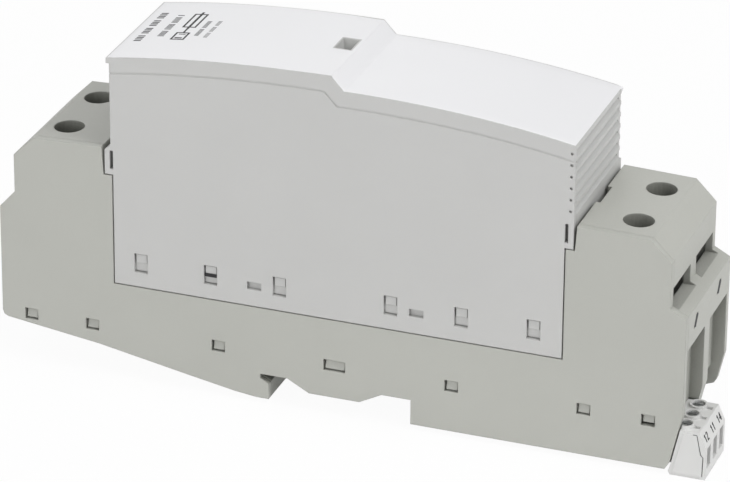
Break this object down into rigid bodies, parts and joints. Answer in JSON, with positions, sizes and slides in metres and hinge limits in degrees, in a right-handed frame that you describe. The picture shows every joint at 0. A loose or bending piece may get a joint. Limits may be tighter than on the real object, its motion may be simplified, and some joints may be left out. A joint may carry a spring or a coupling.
{
  "type": "din rail surge arrester",
  "caption": "Rail-mounted surge arrester: a terminal base with a pull-out protection plug under an arched cap, cage clamp terminals, a sliding rail latch and a pluggable signal connector.",
  "frame": {"origin": "on the rail's face, in the middle of the rail channel and of the width", "axes": "+X along the base from the fixed hook to the sliding latch, +Y across the width away from the side covers, +Z away from the rail towards the cap"},
  "size_m": [0.1748, 0.0356, 0.0866],
  "materials": {
    "base_grey": "fine matt moulded grain, warm mid grey",
    "plug_grey": "fine matt moulded grain, light grey",
    "cap_white": "satin moulded, cool white",
    "signal_white": "satin moulded, white",
    "latch_black": "matt moulded, black",
    "zinc_steel": "bright zinc plated steel",
    "brass": "bare brass and enamelled winding",
    "tinned_copper": "tinned copper sheet, satin",
    "copper": "bare copper, satin",
    "ceramic": "glazed ceramic, cream white",
    "resin_black": "moulded resin, black",
    "board_green": "lacquered circuit board, green",
    "varistor_blue": "dipped epoxy, blue",
    "flag_green": "moulded, pale grey green",
    "spring_steel": "bare spring steel wire"
  },
  "bodies": {
    "base": {"base_housing": "base_grey", "base_side_cover": "base_grey", "partition_left": "base_grey", "partition_right": "base_grey", "busbar_left": "tinned_copper", "busbar_right": "tinned_copper", "contact_clip_left": "tinned_copper", "contact_clip_right": "tinned_copper", "latch_spring": "spring_steel", "signal_switch": "resin_black", "signal_header": "resin_black", "signal_strip_1": "tinned_copper", "signal_strip_2": "tinned_copper", "signal_strip_3": "tinned_copper"},
    "plug": {"plug_housing": "plug_grey", "plug_side_cover": "plug_grey", "plug_cap": "cap_white", "spark_gap_body": "ceramic", "electrode_left": "copper", "electrode_right": "copper", "fuse_tube": "ceramic", "fuse_cap_left": "tinned_copper", "fuse_cap_right": "tinned_copper", "blade_left": "copper", "blade_right": "copper", "link_middle": "copper", "trigger_board": "board_green", "trigger_coil": "brass", "trigger_capacitor": "resin_black", "varistor": "varistor_blue"},
    "indicator": {"status_indicator": "flag_green"},
    "latch": {"rail_latch": "latch_black"},
    "plunger": {"switch_plunger": "cap_white"},
    "connector": {"connector_body": "signal_white"},
    "screw_left_near": {"terminal_screw_left_near": "zinc_steel"},
    "cage_left_near": {"clamp_cage_left_near": "zinc_steel"},
    "screw_left_far": {"terminal_screw_left_far": "zinc_steel"},
    "cage_left_far": {"clamp_cage_left_far": "zinc_steel"},
    "screw_right_near": {"terminal_screw_right_near": "zinc_steel"},
    "cage_right_near": {"clamp_cage_right_near": "zinc_steel"},
    "screw_right_far": {"terminal_screw_right_far": "zinc_steel"},
    "cage_right_far": {"clamp_cage_right_far": "zinc_steel"},
    "connector_screw_1": {"connector_screw_1": "zinc_steel"},
    "connector_cage_1": {"connector_cage_1": "zinc_steel"},
    "connector_screw_2": {"connector_screw_2": "zinc_steel"},
    "connector_cage_2": {"connector_cage_2": "zinc_steel"},
    "connector_screw_3": {"connector_screw_3": "zinc_steel"},
    "connector_cage_3": {"connector_cage_3": "zinc_steel"}
  },
  "joints": [
    {"name": "plug_pull", "type": "slide", "parent": "base", "child": "plug", "axis": [0, 0, 1], "range_m": [0, 0.06]},
    {"name": "indicator_slide", "type": "slide", "parent": "plug", "child": "indicator", "axis": [1, 0, 0], "range_m": [0, 0.0044]},
    {"name": "latch_slide", "type": "slide", "parent": "base", "child": "latch", "axis": [1, 0, 0], "range_m": [0, 0.0035], "stiffness_N_per_m": 1000, "springref_m": -0.002, "deforming": ["latch_spring"]},
    {"name": "plunger_press", "type": "slide", "parent": "base", "child": "plunger", "axis": [0, 0, 1], "range_m": [-0.002, 0], "stiffness_N_per_m": 150, "springref_m": 0.003},
    {"name": "connector_pull", "type": "slide", "parent": "base", "child": "connector", "axis": [1, 0, 0], "range_m": [0, 0.012]},
    {"name": "screw_turn_left_near", "type": "hinge", "parent": "base", "child": "screw_left_near", "pos_m": [-0.0707, -0.009, 0.041], "axis": [0, 0, -1], "range_deg": [0, 3420]},
    {"name": "cage_lift_left_near", "type": "slide", "parent": "base", "child": "cage_left_near", "axis": [0, 0, 1], "range_m": [0, 0.0095]},
    {"name": "screw_turn_left_far", "type": "hinge", "parent": "base", "child": "screw_left_far", "pos_m": [-0.0707, 0.009, 0.041], "axis": [0, 0, -1], "range_deg": [0, 3420]},
    {"name": "cage_lift_left_far", "type": "slide", "parent": "base", "child": "cage_left_far", "axis": [0, 0, 1], "range_m": [0, 0.0095]},
    {"name": "screw_turn_right_near", "type": "hinge", "parent": "base", "child": "screw_right_near", "pos_m": [0.0693, -0.009, 0.041], "axis": [0, 0, -1], "range_deg": [0, 3420]},
    {"name": "cage_lift_right_near", "type": "slide", "parent": "base", "child": "cage_right_near", "axis": [0, 0, 1], "range_m": [0, 0.0095]},
    {"name": "screw_turn_right_far", "type": "hinge", "parent": "base", "child": "screw_right_far", "pos_m": [0.0693, 0.009, 0.041], "axis": [0, 0, -1], "range_deg": [0, 3420]},
    {"name": "cage_lift_right_far", "type": "slide", "parent": "base", "child": "cage_right_far", "axis": [0, 0, 1], "range_m": [0, 0.0095]},
    {"name": "connector_screw_turn_1", "type": "hinge", "parent": "connector", "child": "connector_screw_1", "pos_m": [0.0839, -0.01478, 0.005], "axis": [0, 0, -1], "range_deg": [0, 1440]},
    {"name": "connector_cage_lift_1", "type": "slide", "parent": "connector", "child": "connector_cage_1", "axis": [0, 0, 1], "range_m": [0, 0.0018]},
    {"name": "connector_screw_turn_2", "type": "hinge", "parent": "connector", "child": "connector_screw_2", "pos_m": [0.0839, -0.0097, 0.005], "axis": [0, 0, -1], "range_deg": [0, 1440]},
    {"name": "connector_cage_lift_2", "type": "slide", "parent": "connector", "child": "connector_cage_2", "axis": [0, 0, 1], "range_m": [0, 0.0018]},
    {"name": "connector_screw_turn_3", "type": "hinge", "parent": "connector", "child": "connector_screw_3", "pos_m": [0.0839, -0.00462, 0.005], "axis": [0, 0, -1], "range_deg": [0, 1440]},
    {"name": "connector_cage_lift_3", "type": "slide", "parent": "connector", "child": "connector_cage_3", "axis": [0, 0, 1], "range_m": [0, 0.0018]}
  ],
  "couplings": [
    {"joint": "screw_turn_left_near", "follows": "cage_lift_left_near", "rad_per_m": 6283.2},
    {"joint": "screw_turn_left_far", "follows": "cage_lift_left_far", "rad_per_m": 6283.2},
    {"joint": "screw_turn_right_near", "follows": "cage_lift_right_near", "rad_per_m": 6283.2},
    {"joint": "screw_turn_right_far", "follows": "cage_lift_right_far", "rad_per_m": 6283.2},
    {"joint": "connector_screw_turn_1", "follows": "connector_cage_lift_1", "rad_per_m": 13963},
    {"joint": "connector_screw_turn_2", "follows": "connector_cage_lift_2", "rad_per_m": 13963},
    {"joint": "connector_screw_turn_3", "follows": "connector_cage_lift_3", "rad_per_m": 13963}
  ]
}
